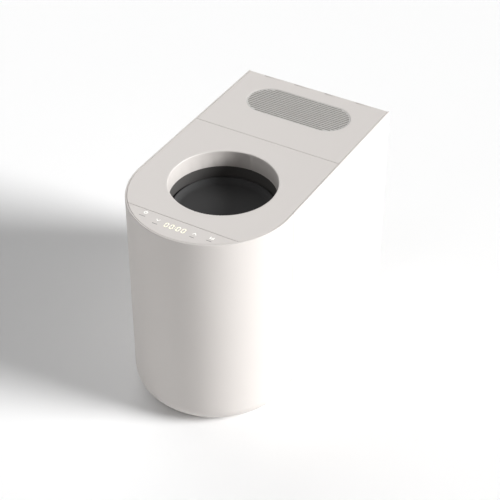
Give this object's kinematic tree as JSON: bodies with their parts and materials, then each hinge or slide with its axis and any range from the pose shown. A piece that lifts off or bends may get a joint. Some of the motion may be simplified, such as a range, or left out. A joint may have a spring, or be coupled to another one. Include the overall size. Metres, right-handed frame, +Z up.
{
  "type": "trash compactor",
  "caption": "Free-standing kitchen waste compactor with a round top mouth, a screw-driven tilting press plate, a pull-out bin drawer in its round front and a hinged rear cover over a fan",
  "frame": {"origin": "middle of the body's footprint on the floor", "axes": "+Z up, -Y towards the round front that the drawer pulls out of, +X to the right when facing the flat back"},
  "size_m": [0.305, 0.5399, 0.42],
  "materials": {
    "shell_white": "warm off-white moulded plastic with a fine satin grain",
    "grille_grey": "light grey moulded plastic",
    "panel_grey": "grey powder coat",
    "press_dark": "dark grey matt powder coat",
    "chute_dark": "dark grey moulded plastic",
    "frame_steel": "bare zinc-plated sheet",
    "slide_zinc": "bright zinc plate",
    "ground_steel": "ground and lightly oiled",
    "screw_steel": "zinc-plated screw heads",
    "bearing_steel": "hardened, lightly oiled",
    "bronze": "sintered bronze",
    "cast_grey": "as cast with grey primer",
    "gearbox_metal": "die cast",
    "motor_metal": "dark enamel",
    "pulley_grey": "glass-filled plastic",
    "belt_rubber": "black rubber",
    "foot_rubber": "matt rubber",
    "black_plastic": "black moulded plastic",
    "rocker_black": "polished black plastic",
    "housing_grey": "mid grey moulded plastic",
    "bin_grey": "grey moulded plastic",
    "carbon": "pleated carbon-loaded felt",
    "board_green": "green lacquered board",
    "label_grey": "printed dark grey",
    "display_light": "lit pale yellow window",
    "symbol_light": "lit white window"
  },
  "bodies": {
    "chassis": {"base_plate": "frame_steel", "rubber_feet": "foot_rubber", "base_screws": "screw_steel", "body_shell": "shell_white", "back_panel": "panel_grey", "back_screws": "screw_steel", "side_frame_left": "frame_steel", "side_frame_right": "frame_steel", "mid_deck": "frame_steel", "top_frame": "frame_steel", "top_deck": "shell_white", "control_panel": "shell_white", "display_digits": "display_light", "touch_symbols": "symbol_light", "symbol_labels": "label_grey", "display_board": "board_green", "press_chute": "chute_dark", "guide_rods": "ground_steel", "screw_bearings": "bearing_steel", "drive_belts": "belt_rubber", "motor_bracket": "frame_steel", "gearbox": "gearbox_metal", "drive_motor": "motor_metal", "slide_outers": "slide_zinc", "magnet_catches": "black_plastic", "limit_switches": "black_plastic", "cover_hinge_pin": "ground_steel", "filter_housing": "housing_grey", "carbon_filter": "carbon", "fan_frame": "black_plastic", "power_supply": "slide_zinc", "control_board": "board_green", "inlet_recess": "black_plastic", "power_inlet": "black_plastic"},
    "ram": {"ram_yoke": "cast_grey", "screw_nuts": "bronze", "guide_bushes": "bronze", "shaft_bearings": "bronze", "tilt_motor": "motor_metal"},
    "press": {"tilt_shaft": "ground_steel", "worm_wheel": "bronze", "plate_carrier": "cast_grey", "press_plate": "press_dark"},
    "worm": {"tilt_worm": "ground_steel"},
    "left_screw": {"power_screw_left": "ground_steel", "screw_pulley_left": "pulley_grey"},
    "right_screw": {"power_screw_right": "ground_steel", "screw_pulley_right": "pulley_grey"},
    "motor_drive": {"output_shaft": "ground_steel", "motor_pulley": "pulley_grey"},
    "drawer": {"drawer_front": "shell_white", "drawer_tray": "frame_steel", "waste_bin": "bin_grey", "slide_inners": "slide_zinc", "strike_plates": "slide_zinc"},
    "slide_middle": {"slide_middles": "slide_zinc"},
    "cover": {"rear_cover": "shell_white", "exhaust_grille": "grille_grey"},
    "fan": {"fan_rotor": "black_plastic"},
    "rocker": {"rocker_switch": "rocker_black"}
  },
  "joints": [
    {"name": "ram_slide", "type": "slide", "parent": "chassis", "child": "ram", "axis": [0, 0, 1], "range_m": [-0.125, 0]},
    {"name": "plate_tilt", "type": "hinge", "parent": "ram", "child": "press", "pos_m": [0, -0.053, 0.34], "axis": [1, 0, 0], "range_deg": [0, 85]},
    {"name": "worm_turn", "type": "hinge", "parent": "ram", "child": "worm", "pos_m": [0.121, -0.0316, 0.34], "axis": [0, 0, 1], "range_deg": [0, 2600]},
    {"name": "left_screw_turn", "type": "hinge", "parent": "chassis", "child": "left_screw", "pos_m": [-0.125, -0.01, 0.17], "axis": [0, 0, 1], "range_deg": [0, 7510]},
    {"name": "right_screw_turn", "type": "hinge", "parent": "chassis", "child": "right_screw", "pos_m": [0.125, -0.01, 0.17], "axis": [0, 0, 1], "range_deg": [0, 7510]},
    {"name": "motor_turn", "type": "hinge", "parent": "chassis", "child": "motor_drive", "pos_m": [0, 0.132, 0.17], "axis": [0, 0, 1], "range_deg": [0, 7510]},
    {"name": "drawer_slide", "type": "slide", "parent": "chassis", "child": "drawer", "axis": [0, -1, 0], "range_m": [0, 0.3]},
    {"name": "slide_member", "type": "slide", "parent": "chassis", "child": "slide_middle", "axis": [0, -1, 0], "range_m": [0, 0.15]},
    {"name": "cover_hinge", "type": "hinge", "parent": "chassis", "child": "cover", "pos_m": [0, 0.2675, 0.4175], "axis": [-1, 0, 0], "range_deg": [0, 95]},
    {"name": "fan_turn", "type": "hinge", "parent": "chassis", "child": "fan", "pos_m": [0, 0.1905, 0.33], "axis": [0, 0, 1], "continuous": true},
    {"name": "rocker_tilt", "type": "hinge", "parent": "chassis", "child": "rocker", "pos_m": [-0.04, 0.256, 0.084], "axis": [-1, 0, 0], "range_deg": [0, 18]}
  ],
  "couplings": [
    {"joint": "worm_turn", "follows": "plate_tilt", "ratio": 30},
    {"joint": "left_screw_turn", "follows": "ram_slide", "rad_per_m": -1047.2},
    {"joint": "right_screw_turn", "follows": "ram_slide", "rad_per_m": -1047.2},
    {"joint": "motor_turn", "follows": "ram_slide", "rad_per_m": -1047.2},
    {"joint": "slide_member", "follows": "drawer_slide", "ratio": 0.5}
  ]
}
